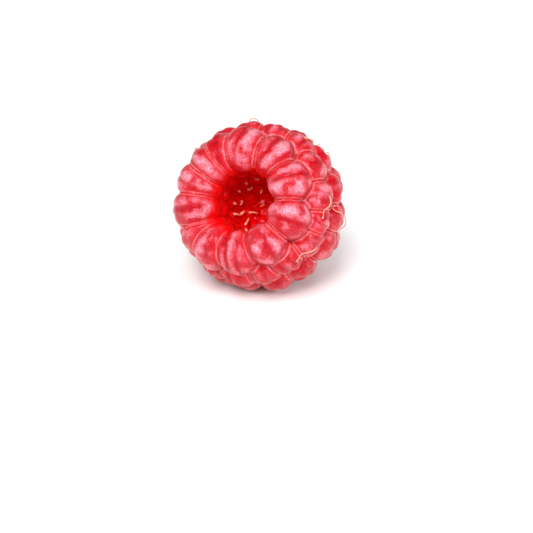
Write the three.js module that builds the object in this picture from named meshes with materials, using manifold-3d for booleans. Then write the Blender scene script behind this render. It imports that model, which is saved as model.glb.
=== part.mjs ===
// A picked red raspberry, lying on its side with its hollow mouth facing -Y and tilted up.
//
// The fruit is one aggregate: rows of drupelets pressed against each other, grown together round
// the hollow that the receptacle left when the berry was pulled off the plant. A dried style, the
// thread of the old flower, still stands on many of the drupelets.
//
// Millimetres, +Z up. The origin is on the surface that the berry lies on, under its middle.
// The berry is laid out in its own frame first: there +Z is the axis, pointing out of the mouth,
// angles turn from +X towards +Y, and latitude is 0 at the tip and grows towards the mouth.

import * as THREE from "three";
import { mergeVertices } from "three/addons/utils/BufferGeometryUtils.js";
import Module from "manifold-3d";

const wasm = await Module();
wasm.setup();

// ---- Driving dimensions -------------------------------------------------------------------

const FRUIT_WIDTH = 20.8; // across the fattest row
const BODY_STRETCH = 1.06; // length over width of the surface that the drupelets sit on
const CAP_HEIGHT = 2.6; // from a drupelet's middle to the top of its cap
const DRUPELET_WIDTH = 5.4; // round the berry
const DRUPELET_DEPTH = 5.2; // along the berry
const CREASE_DEPTH = 1.5; // the deepest place between caps, below their tops

const HOLLOW_WIDTH = 8.4; // at the mouth, behind the rim drupelets
const HOLLOW_DEPTH = 10.4; // from the rim drupelets' middles
const HOLLOW_FULLNESS = 2.4; // 2 is an ellipse, more is blunter

const REST_FLATTENING = 0.2; // how far the soft caps give way where the berry rests

const STYLE_THICKNESS = 0.2;
const STYLE_LENGTH = 2.8;
const STYLE_CLEARANCE = 0.15; // between the foot of a style and its drupelet
const STYLE_FLOOR = 6; // no style grows on a drupelet whose middle is lower than this

// The rows of drupelets, from the mouth to the tip. A row near the mouth is laid by hand: each
// place is an angle, a latitude and a length along the berry. Further on, `count` and `first`
// space a row evenly. `size` scales the whole drupelet.
const ROWS = [
  {
    name: "rim",
    size: 1.02,
    places: [
      [30, 130, 1.05], [66, 128, 1.1], [100, 130, 1.1], [127, 127, 1.15],
      [146, 128, 1.15], [170, 126, 1.2], [198, 125, 1.2], [222, 119, 1.3],
      [246, 122, 1.3], [277, 128, 1.15], [312, 131, 1.05], [350, 129, 1.1],
    ],
  },
  {
    name: "shoulder",
    size: 0.97,
    places: [
      [14, 108, 0.95], [39, 109, 1.1], [61, 105, 1], [81, 109, 1],
      [103, 109, 1], [126, 105, 1], [148, 105, 1], [172, 102, 1],
      [197, 102, 1], [221, 97, 1], [247, 99, 1], [272, 106, 1],
      [293, 108, 1], [316, 111, 1.1], [338, 107, 0.95], [356, 107, 0.9],
    ],
  },
  { name: "girth", latitude: 85, size: 0.98, count: 16, first: 2 },
  { name: "waist", latitude: 66.5, size: 1.0, count: 13, first: 270 - 180 / 13 },
  { name: "heel", latitude: 44, size: 1.0, count: 10, first: 270 },
  { name: "toe", latitude: 22, size: 1.0, count: 5, first: 234 },
  { name: "tip", latitude: 0, size: 0.95, count: 1, first: 0 },
];
const MOUTH_LATITUDE = 132; // where the cup's outline turns over the rim

const ANGLE_SPREAD = 2.4; // how far a drupelet strays from its place in an even row, degrees
const LATITUDE_SPREAD = 1.6;
const SIZE_SPREAD = 0.05;

const SKIN_DETAIL = 19; // subdivisions of the ball that the skin is folded from
const OUTLINE_STEPS = 30; // along each third of the cup's outline
const STYLE_STEPS = 6;
const STYLE_SIDES = 6;

// ---- Worked-out sizes ---------------------------------------------------------------------

const seatRadius = FRUIT_WIDTH / 2 - CAP_HEIGHT; // the ellipsoid that the drupelets' middles lie on
const seatHalfLength = seatRadius * BODY_STRETCH;
const radians = THREE.MathUtils.degToRad;

// ---- Layout -------------------------------------------------------------------------------

// Small numbers from -1 to 1 that come out the same on every run.
function makeStray(seed) {
  const modulus = 2147483647;
  let state = seed;
  return () => {
    state = (state * 16807) % modulus;
    return (2 * state) / modulus - 1;
  };
}

// A point of the seat ellipsoid and its outward normal, as radius and height.
function seatOutline(latitude) {
  const [sinLat, cosLat] = [Math.sin(radians(latitude)), Math.cos(radians(latitude))];
  return {
    point: new THREE.Vector2(seatRadius * sinLat, -seatHalfLength * cosLat),
    normal: new THREE.Vector2(sinLat / seatRadius, -cosLat / seatHalfLength).normalize(),
  };
}

// Radius and height swung round the axis to an angle.
function swing(outlinePoint, cosAngle, sinAngle) {
  return new THREE.Vector3(outlinePoint.x * cosAngle, outlinePoint.x * sinAngle, outlinePoint.y);
}

// The three drupelets that the berry lies on: two of the waist row and one of the heel row.
function supports(row, place) {
  return (row.name === "waist" && place < 2) || (row.name === "heel" && place === 0);
}

// The angle, latitude and length of each drupelet of a row, before it strays.
function placesOf(row) {
  if (row.places) return row.places;
  const step = 360 / row.count;
  return Array.from({ length: row.count }, (_, place) => [row.first + step * place, row.latitude, 1]);
}

// One record for each drupelet: its middle, its own axes and its half sizes along them.
function layDrupelets() {
  const stray = makeStray(2024);
  const drupelets = [];
  for (const row of ROWS) {
    placesOf(row).forEach(([evenAngle, evenLatitude, length], place) => {
      const [turn, climb, grow] = [stray(), stray(), stray()];
      const support = supports(row, place);
      const loose = row.places || support ? 0 : 1;
      const angle = radians(evenAngle + loose * ANGLE_SPREAD * turn);
      const [cosAngle, sinAngle] = [Math.cos(angle), Math.sin(angle)];
      const seat = seatOutline(evenLatitude + loose * LATITUDE_SPREAD * climb);
      const outward = swing(seat.normal, cosAngle, sinAngle);
      const around = new THREE.Vector3(-sinAngle, cosAngle, 0);
      const size = row.size * (support ? 1 : 1 + SIZE_SPREAD * grow);
      drupelets.push({
        row: row.name,
        place,
        support,
        middle: swing(seat.point, cosAngle, sinAngle),
        axes: [outward, around, new THREE.Vector3().crossVectors(outward, around)],
        halves: [CAP_HEIGHT * size, (DRUPELET_WIDTH / 2) * size, (DRUPELET_DEPTH / 2) * size * length],
      });
    });
  }
  return drupelets;
}

// ---- Skin ---------------------------------------------------------------------------------

// How far along a ray its last point in a drupelet is, or nothing where the ray misses it.
function exitDistance(drupelet, origin, direction) {
  const offset = new THREE.Vector3().subVectors(origin, drupelet.middle);
  let [a, b, c] = [0, 0, -1];
  drupelet.axes.forEach((axis, i) => {
    const start = offset.dot(axis) / drupelet.halves[i];
    const step = direction.dot(axis) / drupelet.halves[i];
    a += step * step;
    b += step * start;
    c += start * start;
  });
  const square = b * b - a * c;
  return square < 0 ? -Infinity : (Math.sqrt(square) - b) / a;
}

// The cup's outline as stations: up the outside from the tip, round the rim and down the hollow.
// A station has a base, the direction in which the skin lies from it, the least distance to the
// skin, and the area of the cup up to it.
function cupStations() {
  const stations = [];
  const add = (base, direction, least, rise) => {
    const surface = base.clone().addScaledVector(direction, rise);
    const last = stations[stations.length - 1];
    const area = last ? last.area + surface.distanceTo(last.surface) * (surface.x + last.surface.x) : 0;
    stations.push({ base, direction, least, surface, area });
  };
  const least = CAP_HEIGHT - CREASE_DEPTH;
  for (let i = 0; i <= OUTLINE_STEPS; i++) {
    const { point, normal } = seatOutline((MOUTH_LATITUDE * i) / OUTLINE_STEPS);
    add(point, normal, least, CAP_HEIGHT);
  }
  const rim = seatOutline(MOUTH_LATITUDE);
  for (let i = 1; i <= OUTLINE_STEPS; i++) {
    const direction = rim.normal.clone().rotateAround(new THREE.Vector2(), (Math.PI * i) / OUTLINE_STEPS);
    add(rim.point, direction, least, CAP_HEIGHT);
  }
  const rimFoot = stations[stations.length - 1].surface.y;
  const start = Math.asin((rim.point.y - rimFoot) / HOLLOW_DEPTH);
  for (let i = 1; i <= OUTLINE_STEPS; i++) {
    const sweep = start + ((Math.PI / 2 - start) * i) / OUTLINE_STEPS;
    const depth = HOLLOW_DEPTH * Math.sin(sweep) ** (2 / HOLLOW_FULLNESS);
    const radius = (HOLLOW_WIDTH / 2) * Math.max(0, Math.cos(sweep)) ** (2 / HOLLOW_FULLNESS);
    const inward = new THREE.Vector2(-Math.cos(sweep), Math.sin(sweep));
    add(new THREE.Vector2(radius, rim.point.y - depth), inward, 0, 0);
  }
  return stations;
}

// The station at a share of the cup's whole area, between its two neighbours.
function stationAt(stations, share) {
  const wanted = share * stations[stations.length - 1].area;
  const next = Math.max(1, stations.findIndex((station) => station.area >= wanted));
  const [from, to] = [stations[next - 1], stations[next]];
  const part = (wanted - from.area) / (to.area - from.area);
  return {
    base: from.base.clone().lerp(to.base, part),
    direction: from.direction.clone().lerp(to.direction, part).normalize(),
    least: THREE.MathUtils.lerp(from.least, to.least, part),
  };
}

// A ball of even triangles, folded into the cup and pushed out to the drupelets' skin.
function skinGeometry(drupelets) {
  const ball = new THREE.IcosahedronGeometry(1, SKIN_DETAIL);
  ball.deleteAttribute("normal");
  ball.deleteAttribute("uv");
  const geometry = mergeVertices(ball, 1e-5);
  const position = geometry.getAttribute("position");
  const stations = cupStations();
  const reach = 1.2 * DRUPELET_WIDTH;
  for (let i = 0; i < position.count; i++) {
    const onBall = new THREE.Vector3().fromBufferAttribute(position, i);
    const { base, direction, least } = stationAt(stations, (1 + onBall.z / onBall.length()) / 2);
    const angle = Math.atan2(onBall.y, onBall.x);
    const [cosAngle, sinAngle] = [Math.cos(angle), Math.sin(angle)];
    const origin = swing(base, cosAngle, sinAngle);
    const probe = swing(direction, cosAngle, sinAngle);
    const distances = drupelets
      .filter((drupelet) => drupelet.middle.distanceTo(origin) < reach)
      .map((drupelet) => exitDistance(drupelet, origin, probe));
    origin.addScaledVector(probe, Math.max(least, ...distances));
    position.setXYZ(i, origin.x, origin.y, origin.z);
  }
  return geometry;
}

// ---- Solids -------------------------------------------------------------------------------

function toSolid(geometry) {
  return new wasm.Manifold(
    new wasm.Mesh({
      numProp: 3,
      vertProperties: geometry.getAttribute("position").array,
      triVerts: new Uint32Array(geometry.index.array),
    }),
  );
}

function toGeometry(solid) {
  const { vertProperties, triVerts } = solid.getMesh();
  const geometry = new THREE.BufferGeometry();
  geometry.setAttribute("position", new THREE.BufferAttribute(vertProperties, 3));
  geometry.setIndex(new THREE.BufferAttribute(triVerts, 1));
  geometry.computeVertexNormals();
  return geometry;
}

// ---- Rest ---------------------------------------------------------------------------------

// The turn that sets the berry down on its three supports, with the mouth towards -Y.
function restTurn(drupelets) {
  const [first, second, third] = drupelets.filter(({ support }) => support).map(({ middle }) => middle);
  const up = new THREE.Plane().setFromCoplanarPoints(first, second, third).normal;
  if (up.dot(first) > 0) up.negate();
  const mouth = new THREE.Vector3(0, 0, 1);
  const back = mouth.clone().addScaledVector(up, -mouth.dot(up)).normalize().negate();
  const right = new THREE.Vector3().crossVectors(back, up);
  const berryFromWorld = new THREE.Matrix4().makeBasis(right, back, up);
  return new THREE.Quaternion().setFromRotationMatrix(berryFromWorld.transpose());
}

// A slab whose top is at a height over the berry's middle once the berry is turned to rest.
function slabUnder(height, turn) {
  const side = 2 * FRUIT_WIDTH;
  const slab = new THREE.BoxGeometry(side, side, side);
  slab.translate(0, 0, height - side / 2);
  slab.applyQuaternion(turn.clone().invert());
  slab.deleteAttribute("normal");
  slab.deleteAttribute("uv");
  return mergeVertices(slab, 1e-5);
}

// ---- Styles -------------------------------------------------------------------------------

// A style leaves its drupelet along +Z and bends over towards +X.
function styleGeometry() {
  const curve = new THREE.QuadraticBezierCurve3(
    new THREE.Vector3(),
    new THREE.Vector3(0.3 * STYLE_LENGTH, 0, 0.25 * STYLE_LENGTH),
    new THREE.Vector3(0.95 * STYLE_LENGTH, 0, 0),
  );
  const section = new THREE.Shape();
  for (let side = 0; side < STYLE_SIDES; side++) {
    const angle = (2 * Math.PI * side) / STYLE_SIDES;
    const [x, y] = [(STYLE_THICKNESS / 2) * Math.cos(angle), (STYLE_THICKNESS / 2) * Math.sin(angle)];
    if (side === 0) section.moveTo(x, y);
    else section.lineTo(x, y);
  }
  section.closePath();
  const sweep = { steps: STYLE_STEPS, extrudePath: curve, bevelEnabled: false };
  return new THREE.ExtrudeGeometry(section, sweep);
}

// The drupelets that keep their style: every other one, away from the rim and the floor.
function stylesGrowOn(drupelets, turn, floor) {
  return drupelets.filter(({ row, place, middle }) => {
    const height = middle.clone().applyQuaternion(turn).z - floor;
    return row !== "rim" && place % 2 === 0 && height > STYLE_FLOOR;
  });
}

// Each style stands on the top of its cap and bends its own way.
function makeStyles(drupelets, material) {
  const stray = makeStray(77);
  const geometry = styleGeometry();
  return drupelets.map(({ middle, axes: [outward, around, along], halves }, index) => {
    const style = new THREE.Mesh(geometry, material);
    style.name = `style_${String(index + 1).padStart(2, "0")}`;
    const bend = Math.PI * stray();
    const towards = around.clone().multiplyScalar(Math.cos(bend)).addScaledVector(along, Math.sin(bend));
    const side = new THREE.Vector3().crossVectors(outward, towards);
    style.quaternion.setFromRotationMatrix(new THREE.Matrix4().makeBasis(towards, side, outward));
    style.position.copy(middle).addScaledVector(outward, halves[0] + STYLE_CLEARANCE);
    return style;
  });
}

// ---- The berry ----------------------------------------------------------------------------

const fleshMaterial = new THREE.MeshStandardMaterial({ color: 0xd8233f, roughness: 0.45, metalness: 0 });
const styleMaterial = new THREE.MeshStandardMaterial({ color: 0xdd9a72, roughness: 0.7, metalness: 0 });

const drupelets = layDrupelets();
const turn = restTurn(drupelets);

const skin = toSolid(skinGeometry(drupelets));
const lowest = new THREE.Box3().setFromBufferAttribute(
  toGeometry(skin).applyQuaternion(turn).getAttribute("position"),
).min.z;
const floor = lowest + REST_FLATTENING;
const fruit = toGeometry(skin.subtract(toSolid(slabUnder(floor, turn))));
const raspberry = new THREE.Mesh(fruit, fleshMaterial);
raspberry.name = "raspberry";

const berry = new THREE.Group();
berry.add(raspberry, ...makeStyles(stylesGrowOn(drupelets, turn, floor), styleMaterial));
berry.quaternion.copy(turn);
const extent = new THREE.Box3().setFromObject(berry, true);
const middle = extent.getCenter(new THREE.Vector3());
berry.position.set(-middle.x, -middle.y, -floor);

export default berry;
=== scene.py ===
"""A picked red raspberry, lying on its side on a pale table, with its hollow mouth tilted up.

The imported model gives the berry's place and size. Here its fruit gets its fine skin: drupelets that
are squeezed against their neighbours, with soft furrows, round the hollow of the receptacle. Its
dried styles get their taper, their curl and their knobs, and the hollow keeps a few shreds of the
receptacle. Sizes in the plan are in millimetres, as a grower would give them, and they turn to
metres where a mesh is made.
"""

import logging
import math
from collections.abc import Sequence
from dataclasses import dataclass, field
from enum import Enum

import bmesh
import bpy
import numpy as np
from bpy.types import Material, Mesh, Node, NodeSocket, NodeTree, Object, Scene
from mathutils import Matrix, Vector


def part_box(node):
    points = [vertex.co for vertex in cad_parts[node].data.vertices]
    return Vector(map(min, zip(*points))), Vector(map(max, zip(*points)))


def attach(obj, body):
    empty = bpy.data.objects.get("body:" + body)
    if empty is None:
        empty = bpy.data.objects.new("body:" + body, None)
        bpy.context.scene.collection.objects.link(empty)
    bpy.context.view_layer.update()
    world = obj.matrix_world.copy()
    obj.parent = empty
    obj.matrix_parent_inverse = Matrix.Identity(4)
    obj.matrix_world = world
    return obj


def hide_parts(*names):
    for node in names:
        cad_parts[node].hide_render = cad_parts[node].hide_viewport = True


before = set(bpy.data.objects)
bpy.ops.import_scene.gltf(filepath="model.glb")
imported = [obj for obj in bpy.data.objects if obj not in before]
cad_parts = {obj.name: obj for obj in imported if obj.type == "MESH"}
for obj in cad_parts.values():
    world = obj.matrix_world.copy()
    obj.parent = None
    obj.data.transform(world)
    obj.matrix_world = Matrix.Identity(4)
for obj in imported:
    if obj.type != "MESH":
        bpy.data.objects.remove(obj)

logging.basicConfig(level=logging.INFO, format="%(name)s: %(message)s")
log = logging.getLogger("raspberry")

MM = 0.001
ROOT_BODY = "root"
FAR_MM = 99.0  # Further than anything on the berry.

Array = np.ndarray


# ---- Small tools ----


class Stray:
    """Small numbers that come out the same on every run."""

    MODULUS = 2147483647
    MULTIPLIER = 16807

    def __init__(self, seed: int) -> None:
        """Starts the run of numbers.

        Args:
            seed: Any whole number over 0. The same seed gives the same run.
        """
        self.state = seed

    def both_ways(self) -> float:
        """Returns the next number, from -1 to 1."""
        self.state = (self.state * self.MULTIPLIER) % self.MODULUS
        return 2 * self.state / self.MODULUS - 1

    def between(self, low: float, high: float) -> float:
        """Returns the next number, from low to high."""
        return low + (high - low) * (self.both_ways() + 1) / 2


def unit(vector: Array) -> Array:
    """Returns the vector, or each row of an array of vectors, at length 1."""
    return vector / np.linalg.norm(vector, axis=-1, keepdims=True)


def ramp(values: Array, zero_at: float, one_at: float) -> Array:
    """Returns 0 where the values are at zero_at, 1 where they are at one_at, and evenly between."""
    return np.clip((values - zero_at) / (one_at - zero_at), 0, 1)


def linear(hex_colour: str) -> tuple[float, float, float, float]:
    """Turns an sRGB colour into the linear colour that a shader takes.

    Args:
        hex_colour: The colour as "#rrggbb".

    Returns:
        Red, green, blue and alpha, each from 0 to 1.
    """
    channels = []
    for start in (1, 3, 5):
        value = int(hex_colour[start : start + 2], 16) / 255
        channels.append(value / 12.92 if value <= 0.04045 else ((value + 0.055) / 1.055) ** 2.4)
    return (*channels, 1.0)


def new_piece(name: str, mesh: Mesh, material: Material) -> Object:
    """Puts a smooth-shaded mesh in the scene as a piece of the berry.

    Args:
        name: The piece's name.
        mesh: Its mesh, in metres, in the model's own frame.
        material: Its one material.

    Returns:
        The new object, which rides on the berry's only body.
    """
    mesh.name = name
    mesh.materials.append(material)
    mesh.polygons.foreach_set("use_smooth", [True] * len(mesh.polygons))
    piece = bpy.data.objects.new(name, mesh)
    bpy.context.scene.collection.objects.link(piece)
    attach(piece, ROOT_BODY)
    return piece


# ---- The plan of the berry ----


class RowName(Enum):
    """The rows of drupelets, from the mouth to the tip."""

    RIM = "rim"
    SHOULDER = "shoulder"
    GIRTH = "girth"
    WAIST = "waist"
    HEEL = "heel"
    TOE = "toe"
    TIP = "tip"


@dataclass(frozen=True)
class Place:
    """Where a drupelet sits, in degrees, and how long it is along the berry."""

    angle: float
    latitude: float
    length: float = 1.0


@dataclass(frozen=True)
class Row:
    """One ring of drupelets. Latitude is 0 at the tip and grows towards the mouth, in degrees."""

    name: RowName
    latitude: float = 0.0
    count: int = 1
    first: float = 0.0
    size: float = 1.0
    by_hand: tuple[Place, ...] = ()

    def places(self) -> tuple[Place, ...]:
        """Returns the place of each drupelet of the row."""
        if self.by_hand:
            return self.by_hand
        angles = [self.first + 360 * index / self.count for index in range(self.count)]
        return tuple(Place(angle, self.latitude) for angle in angles)


RIM = (
    Place(30, 130, 1.05), Place(66, 128, 1.1), Place(100, 130, 1.1), Place(127, 127, 1.15),
    Place(146, 128, 1.15), Place(170, 126, 1.2), Place(198, 125, 1.2), Place(222, 119, 1.3),
    Place(246, 122, 1.3), Place(277, 128, 1.15), Place(312, 131, 1.05), Place(350, 129, 1.1),
)
SHOULDER = (
    Place(14, 108, 0.95), Place(39, 109, 1.1), Place(61, 105), Place(81, 109),
    Place(103, 109), Place(126, 105), Place(148, 105), Place(172, 102),
    Place(197, 102), Place(221, 97), Place(247, 99), Place(272, 106),
    Place(293, 108), Place(316, 111, 1.1), Place(338, 107, 0.95), Place(356, 107, 0.9),
)
ROWS = (
    Row(RowName.RIM, by_hand=RIM, size=1.02),
    Row(RowName.SHOULDER, by_hand=SHOULDER, size=0.97),
    Row(RowName.GIRTH, 85, count=16, first=2, size=0.98),
    Row(RowName.WAIST, 66.5, count=13, first=270 - 180 / 13),
    Row(RowName.HEEL, 44, count=10, first=270),
    Row(RowName.TOE, 22, count=5, first=234),
    Row(RowName.TIP, 0, size=0.95),
)

# The three drupelets that the berry lies on.
SUPPORTS = ((RowName.WAIST, 0), (RowName.WAIST, 1), (RowName.HEEL, 0))


@dataclass(frozen=True)
class Furrow:
    """A shallow fold along a drupelet: its place across it, its slant, its depth and its width."""

    spot: float
    lean: float
    depth: float
    width: float


@dataclass
class Drupelet:
    """One juicy bead of the berry, in the berry's own frame, in millimetres."""

    row: RowName
    place: int
    support: bool
    middle: Array
    outward: Array
    around: Array
    size: float
    length: float
    root: float = 0.0
    planes: list[tuple[Array, float]] = field(default_factory=list)
    furrows: list[Furrow] = field(default_factory=list)

    @property
    def along(self) -> Array:
        """The drupelet's third axis, which runs along the berry."""
        return np.cross(self.outward, self.around)

    def local(self, directions: Array) -> tuple[Array, Array, Array]:
        """Returns the shares of some directions along outward, around and along."""
        return directions @ self.outward, directions @ self.around, directions @ self.along


@dataclass
class BerryPlan:
    """Where each drupelet sits, how the berry lies, and where its hollow is.

    The plan repeats the model's own layout, so that each cap and each style is where the model
    has it. Its frame has +Z along the axis, out of the mouth.
    """

    fruit_width: float = 20.8
    body_stretch: float = 1.06
    cap_height: float = 2.6
    angle_spread: float = 2.4
    latitude_spread: float = 1.6
    size_spread: float = 0.05
    hollow_width: float = 8.4
    hollow_depth: float = 10.4
    hollow_fullness: float = 2.4
    mouth_latitude: float = 132.0
    # Half of the model's own plain drupelet: outward, round the berry and along it.
    model_half_sizes: tuple[float, float, float] = (2.6, 2.7, 2.6)
    seed: int = 2024
    drupelets: list[Drupelet] = field(default_factory=list)

    def __post_init__(self) -> None:
        """Lays the drupelets and works out how the berry lies."""
        self.seat_radius = self.fruit_width / 2 - self.cap_height
        self.seat_half_length = self.seat_radius * self.body_stretch
        self._lay_drupelets()
        self.turn = self._rest_turn()
        self.shift = self._shift_to_model()

    def seat(self, latitude: float, angle: float) -> tuple[Array, Array, Array]:
        """Finds a place on the ellipsoid that the drupelets' middles lie on.

        Args:
            latitude: Degrees from the tip.
            angle: Degrees round the berry.

        Returns:
            The point, its outward normal and the direction round the berry.
        """
        lat, turn = math.radians(latitude), math.radians(angle)
        sine, cosine = math.sin(lat), math.cos(lat)
        radius, height = self.seat_radius * sine, -self.seat_half_length * cosine
        normal = unit(np.array([sine / self.seat_radius, -cosine / self.seat_half_length]))
        swing = np.array([math.cos(turn), math.sin(turn), 0.0])
        axis = np.array([0.0, 0.0, 1.0])
        around = np.array([-math.sin(turn), math.cos(turn), 0.0])
        return radius * swing + height * axis, normal[0] * swing + normal[1] * axis, around

    @property
    def mouth_height(self) -> float:
        """How far the mouth is above the berry's middle, along its axis."""
        return -self.seat_half_length * math.cos(math.radians(self.mouth_latitude))

    def hollow_radius(self, height: Array | float) -> Array | float:
        """Returns how wide the hollow is, from its axis to its wall, at some heights."""
        depth = np.clip((self.mouth_height - height) / self.hollow_depth, 0, 1)
        fullness = self.hollow_fullness
        return self.hollow_width / 2 * (1 - depth**fullness) ** (1 / fullness)

    def to_model(self, points: Array) -> Array:
        """Takes points from the berry's frame to the model's, both in millimetres."""
        return points @ self.turn.T + self.shift

    def _lay_drupelets(self) -> None:
        """Fills the list of drupelets, row by row."""
        stray = Stray(self.seed)
        for row in ROWS:
            for number, place in enumerate(row.places()):
                turn, climb, grow = stray.both_ways(), stray.both_ways(), stray.both_ways()
                support = (row.name, number) in SUPPORTS
                loose = 0 if row.by_hand or support else 1
                middle, outward, around = self.seat(
                    place.latitude + loose * self.latitude_spread * climb,
                    place.angle + loose * self.angle_spread * turn,
                )
                size = row.size * (1 if support else 1 + self.size_spread * grow)
                self.drupelets.append(
                    Drupelet(row.name, number, support, middle, outward, around, size, place.length)
                )

    def _rest_turn(self) -> Array:
        """Returns the turn that sets the berry on its three supports, mouth towards -Y."""
        first, second, third = (d.middle for d in self.drupelets if d.support)
        up = unit(np.cross(second - first, third - first))
        up = -up if up @ first > 0 else up
        mouth = np.array([0.0, 0.0, 1.0])
        back = -unit(mouth - (mouth @ up) * up)
        return np.array([np.cross(back, up), back, up])

    def _shift_to_model(self) -> Array:
        """Returns the step from the turned berry to the model, by matching the fruit's box."""
        low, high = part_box("raspberry")
        reach = np.zeros((2, 3))
        for drupelet in self.drupelets:
            axes = np.array([drupelet.outward, drupelet.around, drupelet.along]) @ self.turn.T
            halves = np.array(self.model_half_sizes) * drupelet.size * (1, 1, drupelet.length)
            extent = np.sqrt(((axes * halves[:, None]) ** 2).sum(axis=0))
            middle = self.turn @ drupelet.middle
            reach[0] = np.minimum(reach[0], middle - extent)
            reach[1] = np.maximum(reach[1], middle + extent)
        shift = (np.array(low) + np.array(high)) / 2 / MM - reach.mean(axis=0)
        shift[2] = high[2] / MM - reach[1][2]
        return shift


# ---- Finishes ----


def node(
    tree: NodeTree,
    kind: str,
    settings: dict[str, object] | None = None,
    inputs: dict[str | int, object] | None = None,
) -> Node:
    """Adds a shader node with its settings and links.

    Args:
        tree: The tree that the node goes in.
        kind: The node's Blender type.
        settings: Values for the node's own properties.
        inputs: For each input by name or number, a value, or the output socket that feeds it.

    Returns:
        The new node.
    """
    made = tree.nodes.new(kind)
    for key, value in (settings or {}).items():
        setattr(made, key, value)
    for key, value in (inputs or {}).items():
        if isinstance(value, NodeSocket):
            tree.links.new(value, made.inputs[key])
        else:
            made.inputs[key].default_value = value
    return made


def new_material(name: str) -> tuple[Material, NodeTree]:
    """Returns a new material with an empty node tree."""
    material = bpy.data.materials.new(name)
    material.use_nodes = True
    material.node_tree.nodes.clear()
    return material, material.node_tree


# The sockets of a Mix node that mixes colours, and of a Map Range node.
MIX_SHARE, MIX_FROM, MIX_TO, MIXED = 0, 6, 7, 2
RANGE_SOCKETS = ("Value", "From Min", "From Max", "To Min", "To Max")


class SkinMark(Enum):
    """The marks that the flesh's mesh carries for its skin, one number at each point."""

    CREASE = "painted_crease_glow"  # 1 where two drupelets meet, and less away from there. It lays the painted crease glow.
    INSIDE = "inside"  # 1 on the hollow's wall.
    RIPENESS = "ripeness"  # One number for each drupelet.
    SCAR = "scar"  # More than 0 where the drupelet bore its style.
    BLOOM = "bloom_and_highlight"  # 1 on top of a drupelet: its bloom of hairs, with a painted highlight over it.
    FELT_AND_SHEEN = "felt_and_sheen"  # More than 0 on a thin line beside each crease: felt of hairs, with a painted sheen line.


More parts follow.
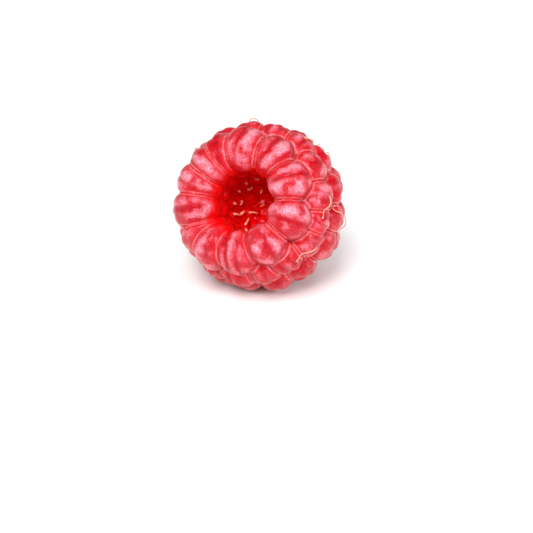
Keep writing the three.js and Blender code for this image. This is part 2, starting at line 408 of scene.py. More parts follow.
@dataclass(frozen=True)
class DrupeletSkin:
    """Ripe raspberry skin: a thin wet cuticle under a felt of very short hairs, grown.

    The juice under it carries light a long way, so the creases glow red instead of going grey.
    The colour paints that glow too, as a brighter red along each crease.
    The felt gives a pale bloom on the caps, with a painted highlight laid over it in lobes, and a
    painted sheen: a pale line beside each crease, where a cap turns away from the eye.
    """

    ripe: str = "#B60014"
    unripe: str = "#C60216"
    pit: str = "#90000C"
    # Painted glow: a brighter, saturated red along the creases, where light through the juice shows.
    painted_crease_glow: str = "#CC0008"
    inside: str = "#E00408"
    # The pale bloom of hairs, which also serves as a painted highlight on the caps.
    bloom_and_highlight: str = "#FFABBE"
    scar: str = "#E9A27E"
    # The felt of hairs, which also serves as a painted sheen line beside each crease.
    felt_and_sheen: str = "#FFBCC4"
    shine: str = "#FFB4CA"
    fuzz: str = "#FFA8A8"
    # The hairs stand 0.05 mm apart. That is too fine to show, so they are drawn in tufts.
    pit_spacing: float = 0.21
    pit_depth: float = 0.03
    # The bloom, with its painted highlight, is rubbed thin in patches, and the skin is dented, over
    # about a third of a drupelet.
    mottle_size: float = 1.6
    dent_depth: float = 0.35
    roughness: float = 0.28
    glow_reach: float = 1.3

    def make(self) -> Material:
        """Returns the skin's material."""
        material, tree = new_material("raspberry_drupelet_skin_ripe")
        place = node(tree, "ShaderNodeTexCoord").outputs["Object"]
        marks = {
            mark: node(tree, "ShaderNodeAttribute", {"attribute_name": mark.value}).outputs["Fac"]
            for mark in SkinMark
        }
        mottle, pits = (
            node(
                tree, "ShaderNodeTexNoise", {},
                {"Vector": place, "Scale": 1 / (size * MM), "Detail": detail, "Roughness": rough},
            ).outputs["Fac"]
            for size, detail, rough in ((self.mottle_size, 1.5, 0.5), (self.pit_spacing, 2.0, 0.6))
        )
        dents = node(
            tree, "ShaderNodeBump", {},
            {"Height": mottle, "Strength": 0.6, "Distance": self.dent_depth * MM},
        ).outputs["Normal"]
        bump = node(
            tree, "ShaderNodeBump", {},
            {"Height": pits, "Strength": 0.4, "Distance": self.pit_depth * MM, "Normal": dents},
        ).outputs["Normal"]
        # Red light goes far in the juice, the rest hardly. The wet cuticle shines softly.
        skin = node(
            tree, "ShaderNodeBsdfPrincipled", {"subsurface_method": "RANDOM_WALK"},
            {
                "Base Color": self._colour(tree, marks, mottle, pits),
                "Normal": bump,
                "Roughness": self.roughness,
                "IOR": 1.5,
                "Specular IOR Level": 0.45,
                "Specular Tint": linear(self.shine),
                "Subsurface Weight": 0.75,
                "Subsurface Radius": (1.0, 0.16, 0.1),
                "Subsurface Scale": self.glow_reach * MM,
                "Sheen Weight": 0.08,
                "Sheen Roughness": 0.2,
                "Sheen Tint": linear(self.fuzz),
            },
        )
        node(tree, "ShaderNodeOutputMaterial", {}, {"Surface": skin.outputs["BSDF"]})
        return material

    def _colour(
        self, tree: NodeTree, marks: dict[SkinMark, NodeSocket], mottle: NodeSocket, pits: NodeSocket
    ) -> NodeSocket:
        """Lays the skin's colours over each other, from the juice to the hairs and the hollow.

        Args:
            tree: The material's tree.
            marks: The mesh's marks.
            mottle: The pattern of the patches.
            pits: The pattern of the tufts.

        Returns:
            The finished colour.
        """
        pitted, patch, dotted, thinned = (
            node(tree, "ShaderNodeMapRange", {}, dict(zip(RANGE_SOCKETS, values))).outputs["Result"]
            for values in (
                (pits, 0.4, 0.6, 1.0, 0.0),  # Darker juice between the tufts.
                (mottle, 0.42, 0.6, 0.05, 0.6),  # Patches of bloom, with its painted highlight.
                (pits, 0.4, 0.58, 0.5, 1.2),  # Tufts in the bloom and its painted highlight.
                (mottle, 0.36, 0.56, 0.5, 1.0),  # Felt, with its painted sheen line, that thins out in places.
            )
        )
        bloom_and_highlight, felt_and_sheen = (
            node(tree, "ShaderNodeMath", {"operation": "MULTIPLY"}, {0: share, 1: mark}).outputs[0]
            for share, mark in ((patch, marks[SkinMark.BLOOM]), (thinned, marks[SkinMark.FELT_AND_SHEEN]))
        )
        bloom_and_highlight = node(
            tree, "ShaderNodeMath", {"operation": "MULTIPLY"}, {0: bloom_and_highlight, 1: dotted},
        ).outputs[0]
        colour = linear(self.unripe)
        # Three of these layers are painted light: the crease glow, the highlight on the bloom and the
        # sheen line by the felt.
        for share, layer in (
            (marks[SkinMark.RIPENESS], self.ripe),
            (pitted, self.pit),
            (bloom_and_highlight, self.bloom_and_highlight),
            (marks[SkinMark.CREASE], self.painted_crease_glow),
            (felt_and_sheen, self.felt_and_sheen),
            (marks[SkinMark.INSIDE], self.inside),
            (marks[SkinMark.SCAR], self.scar),
        ):
            colour = node(
                tree, "ShaderNodeMix", {"data_type": "RGBA"},
                {MIX_SHARE: share, MIX_FROM: colour, MIX_TO: linear(layer)},
            ).outputs[MIXED]
        return colour


@dataclass(frozen=True)
class PlantTissue:
    """Soft plant tissue, grown: two colours run into each other, and light comes a little way in.

    Its patches and the reach of its glow are in millimetres.
    """

    name: str
    pale: str
    deep: str
    patch_size: float
    roughness: float
    ior: float
    glow: float
    glow_reach: float

    def make(self) -> Material:
        """Returns the tissue's material."""
        material, tree = new_material(self.name)
        place = node(tree, "ShaderNodeTexCoord").outputs["Object"]
        patches = node(
            tree, "ShaderNodeTexNoise", {},
            {"Vector": place, "Scale": 1 / (self.patch_size * MM), "Detail": 2.0},
        ).outputs["Fac"]
        colour = node(
            tree, "ShaderNodeMix", {"data_type": "RGBA"},
            {MIX_SHARE: patches, MIX_FROM: linear(self.pale), MIX_TO: linear(self.deep)},
        ).outputs[MIXED]
        tissue = node(
            tree, "ShaderNodeBsdfPrincipled", {},
            {
                "Base Color": colour,
                "Roughness": self.roughness,
                "IOR": self.ior,
                "Subsurface Weight": self.glow,
                "Subsurface Radius": (1.0, 0.5, 0.3),
                "Subsurface Scale": self.glow_reach * MM,
            },
        )
        node(tree, "ShaderNodeOutputMaterial", {}, {"Surface": tissue.outputs["BSDF"]})
        return material


# Dried style: a dead thread of plant fibre. It is tan and dull, and browner in streaks.
DRIED_STYLE = PlantTissue(
    name="raspberry_style_dried_fibre", pale="#F4AC96", deep="#D47E60", patch_size=0.5,
    roughness=0.6, ior=1.5, glow=0.3, glow_reach=0.1,
)

# Torn receptacle: moist pale pith. It shines, and juice has soaked it pink in patches.
MOIST_PITH = PlantTissue(
    name="raspberry_receptacle_pith_moist", pale="#FFC8A4", deep="#F06A54", patch_size=0.5,
    roughness=0.3, ior=1.45, glow=0.5, glow_reach=0.3,
)


@dataclass(frozen=True)
class PlainCard:
    """Matte white card, uncoated: it takes soft shadows and gives no gloss."""

    colour: str = "#F2F2F2"
    roughness: float = 0.9

    def make(self) -> Material:
        """Returns the table's material."""
        material, tree = new_material("white_card_matte")
        card = node(
            tree, "ShaderNodeBsdfPrincipled", {},
            {"Base Color": linear(self.colour), "Roughness": self.roughness},
        )
        node(tree, "ShaderNodeOutputMaterial", {}, {"Surface": card.outputs["BSDF"]})
        return material


# ---- The fruit ----


@dataclass
class Flesh:
    """The fruit itself: its drupelets grown together in one hollow skin, in millimetres."""

    plan: BerryPlan
    cap_height: float = 2.6
    half_width: float = 2.55
    half_depth: float = 2.5
    # How sharply a cap turns into the flat sides that it shares with its neighbours.
    squeeze: float = 11.0
    contact: float = 0.07
    neighbour_reach: float = 8.0
    drupelet_reach: float = 6.46
    longest_root: float = 6.0
    wall_bulge: float = 0.12
    # The cup of flesh that joins the drupelets.
    core_outside: float = 0.5
    core_rim_drop: float = 1.2
    core_rim_latitude: float = 3.0
    core_steps: int = 28
    core_sides: int = 96
    # Furrows, as shares of the drupelet. A draw up to more_furrows that passes 1 gives a second.
    furrow_depth: float = 0.085
    furrow_width: float = 0.17
    furrow_span: float = 1.3
    furrow_place: float = 0.75
    furrow_stray: float = 0.2
    furrow_lean: float = 0.3
    furrow_fade: float = 0.35
    furrow_depths: tuple[float, float] = (0.6, 1.2)
    furrow_widths: tuple[float, float] = (0.7, 1.2)
    more_furrows: float = 1.9
    # The skin's marks.
    ripeness_range: tuple[float, float] = (0.1, 1.0)
    # How far the painted crease glow reaches from each crease.
    crease_reach: float = 0.4
    # The felt of hairs beside each crease, with a painted sheen line on it.
    felt_and_sheen_place: float = 0.33
    felt_and_sheen_width: float = 0.075
    felt_and_sheen_share: float = 0.48
    # The painted highlight on the bloom: pale lobes on the caps, away from the creases and split by
    # the furrows.
    bloom_and_highlight_edges: tuple[float, float] = (0.35, 1.45)
    bloom_and_highlight_falloff: float = 1.2
    highlight_split_share: float = 1.15
    highlight_split_spread: float = 1.35
    # Painted shade: the bloom and its painted highlight fade towards the underside, down to a small
    # share at the table.
    underside_shading_height: float = 9.0
    underside_shading_share: float = 0.12
    scar_radius: float = 0.2
    scar_share: float = 0.6
    # Where the hollow's colour starts and where it is full: from its wall, its mouth and its base.
    lining_wall: tuple[float, float] = (1.6, 0.4)
    lining_mouth: tuple[float, float] = (1.4, -0.2)
    lining_base: tuple[float, float] = (-0.9, -0.4)
    # The joined mesh.
    voxel: float = 0.166
    catch_voxels: float = 1.6
    ball_detail: int = 4
    lay_passes: int = 6
    seed: int = 911

    def build(self) -> Object:
        """Builds the fruit and puts it in the model's place.

        Returns:
            The fruit's piece.
        """
        for drupelet in self.plan.drupelets:
            drupelet.root = self._root_length(drupelet)
            drupelet.planes = self._contact_planes(drupelet)
        self._fold_furrows()
        mesh = self._grow_together()
        points = np.empty(len(mesh.vertices) * 3)
        mesh.vertices.foreach_get("co", points)
        points, marks = self._settle(points.reshape(-1, 3))
        placed = self.plan.to_model(points)
        placed[:, 2] = np.maximum(placed[:, 2], 0)
        mesh.vertices.foreach_set("co", (placed * MM).ravel())
        return self._dress(mesh, marks)

    def _dress(self, mesh: Mesh, marks: dict[SkinMark, Array]) -> Object:
        """Gives the fruit its skin and its place in the model.

        Args:
            mesh: The fruit's mesh.
            marks: The skin's marks at its points.

        Returns:
            The fruit's piece.
        """
        for which, values in marks.items():
            mesh.attributes.new(which.value, "FLOAT", "POINT").data.foreach_set("value", values)
        piece = new_piece("raspberry_fruit", mesh, DrupeletSkin().make())
        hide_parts("raspberry")
        return piece

    def _root_length(self, drupelet: Drupelet) -> float:
        """Returns how far a drupelet reaches in, to bulge a little into the hollow."""
        for step in np.arange(1.0, self.longest_root, 0.05):
            point = drupelet.middle - step * drupelet.outward
            if math.hypot(point[0], point[1]) < self.plan.hollow_radius(point[2]):
                return float(step) + self.wall_bulge
        return self.plan.cap_height

    def _contact_planes(self, drupelet: Drupelet) -> list[tuple[Array, float]]:
        """Returns the flat sides that a drupelet shares with its neighbours.

        Args:
            drupelet: The drupelet.

        Returns:
            For each side, its direction from the drupelet's middle and its distance.
        """
        planes = []
        for other in self.plan.drupelets:
            towards = other.middle - drupelet.middle
            gap = float(np.linalg.norm(towards))
            if other is drupelet or gap > self.neighbour_reach:
                continue
            bias = (drupelet.size**2 - other.size**2) * self.half_width**2
            planes.append((towards / gap, gap / 2 + bias / (2 * gap) + self.contact))
        return planes

    def _fold_furrows(self) -> None:
        """Gives each drupelet one or two shallow furrows that run along the berry."""
        stray = Stray(self.seed)
        for drupelet in self.plan.drupelets:
            count = 1 + int(stray.between(0, self.more_furrows))
            for index in range(count):
                spot = (index + 0.5) / count * self.furrow_span - self.furrow_span / 2
                drupelet.furrows.append(
                    Furrow(
                        spot=spot + self.furrow_stray * stray.both_ways(),
                        lean=self.furrow_lean * stray.both_ways(),
                        depth=stray.between(*self.furrow_depths),
                        width=stray.between(*self.furrow_widths),
                    )
                )

    def _skin_radius(self, drupelet: Drupelet, directions: Array) -> Array:
        """Finds the skin of one drupelet.

        Args:
            drupelet: The drupelet.
            directions: Unit directions from its middle, one in each row.

        Returns:
            How far the skin is from the middle in each direction, in millimetres.
        """
        out, around, along = drupelet.local(directions)
        reach = np.where(out > 0, self.cap_height * drupelet.size, drupelet.root)
        round_share = around / (self.half_width * drupelet.size)
        along_share = along / (self.half_depth * drupelet.size * drupelet.length)
        egg = np.sqrt((out / reach) ** 2 + round_share**2 + along_share**2)
        total = egg**self.squeeze
        for direction, distance in drupelet.planes:
            total += np.maximum(0, directions @ direction / distance) ** self.squeeze
        radius = total ** (-1 / self.squeeze)
        return radius * (1 - self.furrow_depth * self._furrowed(drupelet, directions))

    def _furrowed(self, drupelet: Drupelet, directions: Array, spread: float = 1.0) -> Array:
        """Measures how deep in its furrows a drupelet's skin is.

        Args:
            drupelet: The drupelet.
            directions: Unit directions from its middle, one in each row.
            spread: How many times as wide as they are the furrows are taken to be.

        Returns:
            A number in each direction, 0 away from the furrows and about 1 in a deep one.
        """
        out, around, along = drupelet.local(directions)
        depths = np.zeros(len(directions))
        for furrow in drupelet.furrows:
            offset = around + furrow.lean * along - self.furrow_place * furrow.spot
            offset = offset / (self.furrow_width * furrow.width * spread)
            depths += furrow.depth * np.exp(-(offset**2))
        return depths * np.sqrt(np.clip(out + self.furrow_fade, 0, 1))

    def _grow_together(self) -> Mesh:
        """Joins all the drupelets and the flesh between them in one closed skin.

        Returns:
            The skin's mesh, in the berry's frame, in millimetres.
        """
        form = bmesh.new()
        for drupelet in self.plan.drupelets:
            ball = bmesh.ops.create_icosphere(form, subdivisions=self.ball_detail, radius=1.0)
            directions = unit(np.array([vertex.co for vertex in ball["verts"]]))
            radii = self._skin_radius(drupelet, directions)
            for vertex, spot in zip(ball["verts"], drupelet.middle + directions * radii[:, None]):
                vertex.co = Vector(spot)
        self._add_core(form)
        mesh = bpy.data.meshes.new("fruit_form")
        form.to_mesh(mesh)
        form.free()
        lump = bpy.data.objects.new("fruit_form", mesh)
        bpy.context.scene.collection.objects.link(lump)
        remesh = lump.modifiers.new("grow", "REMESH")
        remesh.mode = "VOXEL"
        remesh.voxel_size = self.voxel
        bpy.context.view_layer.update()
        view = bpy.context.evaluated_depsgraph_get()
        grown = bpy.data.meshes.new_from_object(lump.evaluated_get(view))
        bpy.data.objects.remove(lump)
        bpy.data.meshes.remove(mesh)
        self._drop_crumbs(grown)
        return grown

    @staticmethod
    def _drop_crumbs(mesh: Mesh) -> None:
        """Drops the loose bits that joining the drupelets can leave inside the flesh.

        Args:
            mesh: The joined skin, of which the largest connected part stays.
        """
        form = bmesh.new()
        form.from_mesh(mesh)
        for vertex in form.verts:
            vertex.tag = False
        lumps = []
        for start in form.verts:
            if start.tag:
                continue
            start.tag = True
            lump = [start]
            for vertex in lump:
                for edge in vertex.link_edges:
                    other = edge.other_vert(vertex)
                    if not other.tag:
                        other.tag = True
                        lump.append(other)
            lumps.append(lump)
        lumps.sort(key=len)
        for crumb in lumps[:-1]:
            bmesh.ops.delete(form, geom=crumb, context="VERTS")
        form.to_mesh(mesh)
        form.free()

    def _core_outline(self) -> list[tuple[float, float]]:
        """Returns the outline of the flesh that joins the drupelets, as radius and height."""
        outline = []
        rim = self.plan.mouth_latitude - self.core_rim_latitude
        for latitude in np.linspace(0, rim, self.core_steps):
            point, outward, _ = self.plan.seat(latitude, 0)
            spot = point + self.core_outside * outward
            outline.append((float(spot[0]), float(spot[2])))
        top = outline[-1][1] - self.core_rim_drop
        bottom = self.plan.mouth_height - self.plan.hollow_depth
        for sweep in np.linspace(0, math.pi / 2, self.core_steps):
            height = bottom + (top - bottom) * math.cos(sweep)
            outline.append((float(self.plan.hollow_radius(height)), height))
        outline[0] = (0.0, outline[0][1])
        outline[-1] = (0.0, outline[-1][1])
        return outline

    def _add_core(self, form: bmesh.types.BMesh) -> None:
        """Adds the cup of flesh that joins the drupelets.

        Args:
            form: The mesh that the cup is added to.
        """
        outline = self._core_outline()
        sides = self.core_sides
        angles = [2 * math.pi * side / sides for side in range(sides)]
        rings = []
        for radius, height in outline[1:-1]:
            spots = [(radius * math.cos(a), radius * math.sin(a), height) for a in angles]
            rings.append([form.verts.new(spot) for spot in spots])
        ends = [form.verts.new((0, 0, outline[0][1])), form.verts.new((0, 0, outline[-1][1]))]
        for side in range(sides):
            after = (side + 1) % sides
            form.faces.new((ends[0], rings[0][after], rings[0][side]))
            form.faces.new((ends[1], rings[-1][side], rings[-1][after]))
            for lower, upper in zip(rings, rings[1:]):
                form.faces.new((lower[side], lower[after], upper[after], upper[side]))

    def _settle(self, points: Array, passes: int = 2) -> tuple[Array, dict[SkinMark, Array]]:
        """Moves the joined skin's points exactly onto the drupelets, and marks them.

        Args:
            points: The points, in the berry's frame.
            passes: How many times the points are moved.

        Returns:
            The moved points, and a number at each point for each mark.
        """
        catch = self.catch_voxels * self.voxel
        middles = np.array([drupelet.middle for drupelet in self.plan.drupelets])
        for _ in range(passes):
            nearest, _, owner = self._gaps(points)
            step = nearest[:, None] * unit(points - middles[owner])
            points = np.where(np.abs(nearest)[:, None] < catch, points - step, points)
        nearest, second, owner = self._gaps(points)
        return points, self._marks(points, second - nearest, owner)

    def lay_on(self, line: Array, clearance: Array) -> Array:
        """Lays a thread's line on the skin, as a stiff thread lies: over the creases, not in them.

        Args:
            line: The line's points, in the berry's frame.
            clearance: How far over the skin each point is, in millimetres.

        Returns:
            The moved points. The first one stays where it is.
        """
        middles = np.array([drupelet.middle for drupelet in self.plan.drupelets])
        laid = line.copy()
        for _ in range(self.lay_passes):
            nearest, _, owner = self._gaps(laid)
            step = (clearance - nearest)[:, None] * unit(laid - middles[owner])
            laid = laid + step
            laid[1:-1] = (laid[:-2] + 2 * laid[1:-1] + laid[2:]) / 4
            laid[0] = line[0]
        nearest, _, owner = self._gaps(laid)
        lift = np.maximum(0, clearance - nearest)[:, None] * unit(laid - middles[owner])
        lift[0] = 0
        return laid + lift

    def _gaps(self, points: Array) -> tuple[Array, Array, Array]:
        """Measures points against the drupelets.

        Args:
            points: The points, in the berry's frame.

        Returns:
            How far each point is outside its nearest drupelet, how far outside the next one, and
            the number of the nearest one.
        """
        nearest = np.full(len(points), FAR_MM)
        second = np.full(len(points), FAR_MM)
        owner = np.zeros(len(points), dtype=int)
        for index, drupelet in enumerate(self.plan.drupelets):
            offset = points - drupelet.middle
            distance = np.linalg.norm(offset, axis=1)
            close = np.flatnonzero(distance < self.drupelet_reach)
            directions = offset[close] / distance[close, None]
            gap = distance[close] - self._skin_radius(drupelet, directions)
            first = gap < nearest[close]
            second[close] = np.where(first, nearest[close], np.minimum(second[close], gap))
            owner[close[first]] = index
            nearest[close[first]] = gap[first]
        return nearest, second, owner

    def _marks(self, points: Array, lead: Array, owner: Array) -> dict[SkinMark, Array]:
        """Works out the skin's marks.

        Args:
            points: The settled points.
            lead: How much nearer each point is to its own drupelet than to the next one.
            owner: The number of each point's own drupelet.

        Returns:
            A number from 0 to 1 at each point for each mark.
        """
        stray = Stray(self.seed + 1)
        ripeness = np.array([stray.between(*self.ripeness_range) for _ in self.plan.drupelets])
        inside = self._lining(points)
        tops = [d.middle + d.outward * self.cap_height * d.size for d in self.plan.drupelets]
        from_top = np.linalg.norm(points - np.array(tops)[owner], axis=1)
        furrowed = np.zeros(len(points))
        for index, drupelet in enumerate(self.plan.drupelets):
            own = np.flatnonzero(owner == index)
            directions = unit(points[own] - drupelet.middle)
            furrowed[own] = self._furrowed(drupelet, directions, self.highlight_split_spread)
        # Painted shade: less bloom and painted highlight towards the underside, which lies on the
        # table.
        height = self.plan.to_model(points)[:, 2]
        underside_shading = self.underside_shading_share + (1 - self.underside_shading_share) * ramp(height, 0, self.underside_shading_height)
        # Painted highlight: pale lobes on the caps, away from the creases and split by the furrows.
        highlight_split = np.clip(self.highlight_split_share * furrowed, 0, 1)
        bloom_and_highlight = ramp(lead, *self.bloom_and_highlight_edges) ** self.bloom_and_highlight_falloff * (1 - highlight_split)
        # Painted sheen line: a thin pale band beside each crease, over the felt of hairs.
        felt_and_sheen = np.exp(-(((lead - self.felt_and_sheen_place) / self.felt_and_sheen_width) ** 2))
        return {
            # Painted glow: the crease mark lays a brighter red along the creases.
            SkinMark.CREASE: np.exp(-np.maximum(lead, 0) / self.crease_reach),
            SkinMark.INSIDE: inside,
            SkinMark.RIPENESS: ripeness[owner],
            SkinMark.SCAR: self.scar_share * ramp(from_top, self.scar_radius, 0),
            SkinMark.BLOOM: bloom_and_highlight * (1 - inside) * underside_shading,
            SkinMark.FELT_AND_SHEEN: self.felt_and_sheen_share * felt_and_sheen,
        }

    def _lining(self, points: Array) -> Array:
        """Returns 1 at points on the hollow's wall, less round the rim and 0 outside the berry."""
        radius, height = np.hypot(points[:, 0], points[:, 1]), points[:, 2]
        base = self.plan.mouth_height - self.plan.hollow_depth
        behind_wall = ramp(radius - self.plan.hollow_radius(height), *self.lining_wall)
        below_mouth = ramp(height - self.plan.mouth_height, *self.lining_mouth)
        return behind_wall * below_mouth * ramp(height - base, *self.lining_base)


# ---- Threads ----


# A direction that no thread starts along.
OFF_AXIS = np.array([0.3, 0.5, 0.8])


def add_thread(form: bmesh.types.BMesh, line: Array, radii: Array, sides: int) -> None:
    """Adds a closed round tube along a line to a mesh.

    Args:
        form: The mesh, in metres.
        line: The tube's middle line, in millimetres.
        radii: The tube's radius at each point of the line.
        sides: How many straight sides the tube has.
    """
    ahead = unit(np.gradient(line, axis=0))
    across = unit(np.cross(ahead[0], OFF_AXIS))
    rings = []
    for spot, forward, radius in zip(line, ahead, radii):
        across = unit(across - (across @ forward) * forward)
        up = np.cross(forward, across)
        ring = []
        for turn in np.linspace(0, 2 * math.pi, sides, endpoint=False):
            reach = math.cos(turn) * across + math.sin(turn) * up
            ring.append(form.verts.new(Vector((spot + radius * reach) * MM)))
        rings.append(ring)
    for ring, following in zip(rings, rings[1:]):
        for side in range(sides):
            after = (side + 1) % sides
            form.faces.new((ring[side], ring[after], following[after], following[side]))
    form.faces.new(rings[0][::-1])
    form.faces.new(rings[-1])


def threads_mesh(threads: Sequence[tuple[Array, Array]], sides: int) -> Mesh:
    """Makes one mesh of some threads.

    Args:
        threads: For each thread, its line in millimetres and its radius at each point.
        sides: How many straight sides each thread has.

    Returns:
        The mesh, in metres.
    """
    form = bmesh.new()
    for line, radii in threads:
        add_thread(form, line, radii, sides)
    bmesh.ops.recalc_face_normals(form, faces=form.faces)
    mesh = bpy.data.meshes.new("threads")
    form.to_mesh(mesh)
    form.free()
    return mesh


# ---- The styles ----


@dataclass
class Styles:
    """The dried threads of the flower, one for each that the model has, in millimetres."""

    plan: BerryPlan
    flesh: Flesh
    length: float = 2.8
    reach: float = 0.95
    foot_radius: float = 0.075
    foot_depth: float = 0.1
    tip_radius: float = 0.05
    blunt_end: float = 0.5
    knob_radius: float = 0.085
    knob_place: float = 0.97
    knob_length: float = 0.035
    # How a thread bends sideways, as shares of its length, and how it ripples.
    sway: float = 0.5
    sway_reach: float = 0.9
    ripple: float = 0.14
    ripple_turn: float = 7.0
    # How far over the skin it lies: at its foot, in its first arch, and at its tip.
    foot_lift: float = 0.1
    lift: float = 0.22
    arch: float = 1.5
    tip_lift: float = 0.3
    hooks: tuple[float, float] = (0.2, 1.0)
    # Those lower than this, in the model, have been rubbed off.
    floor: float = 6.0
    rings: int = 26
    sides: int = 8
    seed: int = 77

    def build(self) -> list[Object]:
        """Builds each style on its own drupelet.

        Returns:
            The styles' pieces.
        """
        material = DRIED_STYLE.make()
        stray, curl = Stray(self.seed), Stray(self.seed + 1)
        pieces = []
        for number, drupelet in enumerate(self._bearers(), start=1):
            bend = math.pi * stray.both_ways()
            towards = math.cos(bend) * drupelet.around + math.sin(bend) * drupelet.along
            mesh = self._thread(drupelet, towards, curl)
            pieces.append(self._dress(mesh, f"style_{number:02d}", material))
        return pieces

    def _dress(self, mesh: Mesh, name: str, material: Material) -> Object:
        """Gives one style its finish and its place in the model.

        Args:
            mesh: The style's mesh.
            name: The node that it stands for.
            material: Its finish.

        Returns:
            The style's piece.
        """
        piece = new_piece(f"dried_{name}", mesh, material)
        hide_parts(name)
        return piece

    def _bearers(self) -> list[Drupelet]:
        """Returns the drupelets that keep their style, in the model's order."""
        return [
            drupelet
            for drupelet in self.plan.drupelets
            if drupelet.row is not RowName.RIM
            and drupelet.place % 2 == 0
            and self.plan.to_model(drupelet.middle)[2] > self.floor
        ]

    def _thread(self, drupelet: Drupelet, towards: Array, curl: Stray) -> Mesh:
        """Makes one style's mesh.

        Args:
            drupelet: The drupelet that it stands on.
            towards: The direction in which it bends over.
            curl: Where its own small bends come from.

        Returns:
            The mesh, in metres, in the model's place.
        """
        top = self.plan.cap_height * drupelet.size
        foot = drupelet.middle + drupelet.outward * (top - self.foot_depth)
        side = np.cross(drupelet.outward, towards)
        sway, hook = self.sway * curl.both_ways(), curl.between(*self.hooks)
        shares = np.linspace(0, 1, self.rings)
        ahead = self.length * self.reach * shares
        ripple = self.ripple * np.sin(self.ripple_turn * shares + 3 * hook) * shares
        drift = self.length * sway * shares**2 * self.sway_reach + ripple
        line = foot + ahead[:, None] * towards + drift[:, None] * side
        arch = np.sin(math.pi * np.clip(self.arch * shares, 0, 1))
        clearance = self.foot_lift + self.lift * arch + self.tip_lift * hook * shares**4
        line = self.flesh.lay_on(line, clearance)
        knob = np.exp(-(((shares - self.knob_place) / self.knob_length) ** 2))
        radii = self.foot_radius + (self.tip_radius - self.foot_radius) * shares
        radii = radii + self.knob_radius * knob
        radii[-1] *= self.blunt_end
        return threads_mesh([(self.plan.to_model(line), radii)], self.sides)


# ---- The scraps in the hollow ----


@dataclass
class Scraps:
    """Shreds of the receptacle, left where it held the drupelets, in millimetres."""

    plan: BerryPlan
    share: float = 0.62
    lengths: tuple[float, float] = (0.6, 1.2)
    curls: tuple[float, float] = (0.8, 2.6)
    foot_radius: float = 0.21
    foot_depth: float = 0.15
    tip_radius: float = 0.06
    blunt_end: float = 0.6
    lump: float = 0.2
    lump_turn: float = 5.0
    rings: int = 12
    sides: int = 8
    seed: int = 5150

    def build(self) -> Object:
        """Builds the scraps as one piece.

        Returns:
            The scraps' piece.
        """
        stray = Stray(self.seed)
        rows = (RowName.GIRTH, RowName.WAIST, RowName.HEEL, RowName.TOE)
        threads = []
        for drupelet in self.plan.drupelets:
            if drupelet.row in rows and stray.between(0, 1) < self.share:
                threads.append(self._shred(drupelet, stray))
        piece = new_piece("receptacle_scraps", threads_mesh(threads, self.sides), MOIST_PITH.make())
        return piece

    def _shred(self, drupelet: Drupelet, stray: Stray) -> tuple[Array, Array]:
        """Shapes one scrap, curled its own way.

        Args:
            drupelet: The drupelet whose root it hangs on.
            stray: Where its own shape comes from.

        Returns:
            Its line in the model's frame, and its radius at each point.
        """
        foot = drupelet.middle - drupelet.outward * (drupelet.root - self.foot_depth)
        turn = math.pi * stray.both_ways()
        side = math.cos(turn) * drupelet.around + math.sin(turn) * drupelet.along
        length, curl = stray.between(*self.lengths), stray.between(*self.curls)
        shares = np.linspace(0, 1, self.rings)
        inward = length * np.sin(curl * shares) / curl
        sideways = length * (1 - np.cos(curl * shares)) / curl
        line = foot - inward[:, None] * drupelet.outward + sideways[:, None] * side
        radii = self.foot_radius + (self.tip_radius - self.foot_radius) * shares
        radii = radii * (1 + self.lump * np.sin(self.lump_turn * (shares + curl)))
        radii[-1] *= self.blunt_end
        return self.plan.to_model(line), radii


# ---- The studio ----


@dataclass(frozen=True)
class Softbox:
    """A square soft light that looks at the berry. Angles in degrees, lengths in metres."""

    name: str
    azimuth: float
    elevation: float
    side: float
    power: float
    distance: float = 0.45

    def build(self, target: Vector) -> None:
        """Puts the light in the scene.

        Args:
            target: The point that it looks at.
        """
        light = bpy.data.lights.new(self.name, "AREA")
        light.shape = "SQUARE"
        light.size = self.side
        light.energy = self.power
        lamp = bpy.data.objects.new(self.name, light)
        back = direction_from(self.azimuth, self.elevation)
        lamp.location = target + back * self.distance
        lamp.rotation_mode = "QUATERNION"
        lamp.rotation_quaternion = (-back).to_track_quat("-Z", "Y")
        bpy.context.scene.collection.objects.link(lamp)


def direction_from(azimuth: float, elevation: float) -> Vector:
    """Returns the direction to a viewer. Azimuth 0 looks along +Y, in degrees."""
    turn, climb = math.radians(azimuth), math.radians(elevation)
    level = math.cos(climb)
    return Vector((math.sin(turn) * level, -math.cos(turn) * level, math.sin(climb)))


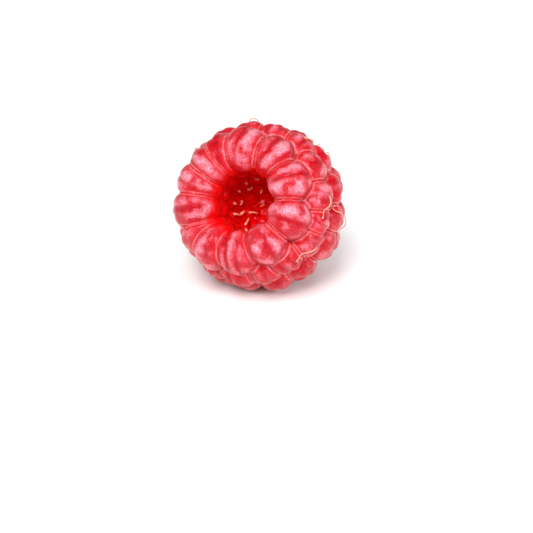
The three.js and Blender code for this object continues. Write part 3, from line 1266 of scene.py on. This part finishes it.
@dataclass
class Studio:
    """The pale table, the soft lights and the camera. Angles in degrees, lengths in metres."""

    azimuth: float = 24.0
    elevation: float = 27.0
    lens: float = 100.0
    sensor: float = 36.0
    frame_width: float = 0.064
    right_of_centre: float = -0.0007
    above_centre: float = 0.0076
    nearest: float = 0.01
    furthest: float = 20.0
    table_side: float = 6.0
    overhead_white: float = 0.22
    horizon_white: float = 0.62
    # How high the horizon's white reaches, as the sine of the angle over it.
    horizon_band: tuple[float, float] = (0.05, 0.3)
    ceiling_strength: float = 1.15
    ceiling_spread: float = 75.0
    softboxes: tuple[Softbox, ...] = (
        Softbox("key_softbox", 10, 46, side=0.18, power=1.9),
        Softbox("right_softbox", 64, 28, side=0.14, power=1.1),
        Softbox("left_softbox", -46, 26, side=0.13, power=0.48),
    )

    def build(self, middle: Vector) -> None:
        """Builds the studio round the berry.

        Args:
            middle: The berry's middle.
        """
        scene = bpy.context.scene
        scene.view_settings.view_transform = "Standard"
        self._lay_table()
        self._surround_with_light(scene)
        for softbox in self.softboxes:
            softbox.build(middle)
        self._light_from_ceiling(scene)
        self._set_camera(scene, middle)

    def _lay_table(self) -> None:
        """Lays the card that the berry lies on."""
        bpy.ops.mesh.primitive_plane_add(size=self.table_side)
        table = bpy.context.object
        table.name = "table_card"
        table.data.materials.append(PlainCard().make())

    def _light_from_ceiling(self, scene: Scene) -> None:
        """Lights the whole table evenly from a wide white ceiling."""
        light = bpy.data.lights.new("white_ceiling", "SUN")
        light.energy = self.ceiling_strength
        light.angle = math.radians(self.ceiling_spread)
        scene.collection.objects.link(bpy.data.objects.new("white_ceiling", light))

    def _surround_with_light(self, scene: Scene) -> None:
        """Lights the room with white, brighter towards the horizon than overhead."""
        world = bpy.data.worlds.new("white_room")
        world.use_nodes = True
        tree = world.node_tree
        tree.nodes.clear()
        direction = node(tree, "ShaderNodeTexCoord").outputs["Generated"]
        height = node(tree, "ShaderNodeSeparateXYZ", {}, {"Vector": direction}).outputs["Z"]
        white = node(
            tree, "ShaderNodeMapRange", {},
            {
                "Value": height,
                "From Min": self.horizon_band[0],
                "From Max": self.horizon_band[1],
                "To Min": self.horizon_white,
                "To Max": self.overhead_white,
            },
        ).outputs["Result"]
        room = node(
            tree, "ShaderNodeBackground", {}, {"Color": linear("#FFFFFF"), "Strength": white},
        )
        node(tree, "ShaderNodeOutputWorld", {}, {"Surface": room.outputs["Background"]})
        scene.world = world

    def _set_camera(self, scene: Scene, middle: Vector) -> None:
        """Sets the camera up so that the berry stands above the picture's middle."""
        camera = bpy.data.objects.new("camera", bpy.data.cameras.new("camera"))
        camera.data.lens = self.lens
        camera.data.sensor_width = self.sensor
        back = direction_from(self.azimuth, self.elevation)
        camera.rotation_mode = "QUATERNION"
        camera.rotation_quaternion = (-back).to_track_quat("-Z", "Y")
        right = camera.rotation_quaternion @ Vector((1, 0, 0))
        up = camera.rotation_quaternion @ Vector((0, 1, 0))
        aim = middle - right * self.right_of_centre - up * self.above_centre
        camera.location = aim + back * (self.frame_width * self.lens / self.sensor)
        camera.data.clip_start, camera.data.clip_end = self.nearest, self.furthest
        scene.collection.objects.link(camera)
        scene.camera = camera


# ---- Making it ----


def main() -> None:
    """Builds the berry and its studio, and logs how many faces each piece has."""
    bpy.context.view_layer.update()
    plan = BerryPlan()
    flesh = Flesh(plan)
    pieces = [flesh.build(), *Styles(plan, flesh).build(), Scraps(plan).build()]
    for piece in pieces:
        log.info("%s: %d faces", piece.name, len(piece.data.polygons))
    low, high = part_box("raspberry")
    Studio().build((Vector(low) + Vector(high)) / 2)


if __name__ == "__main__":
    main()
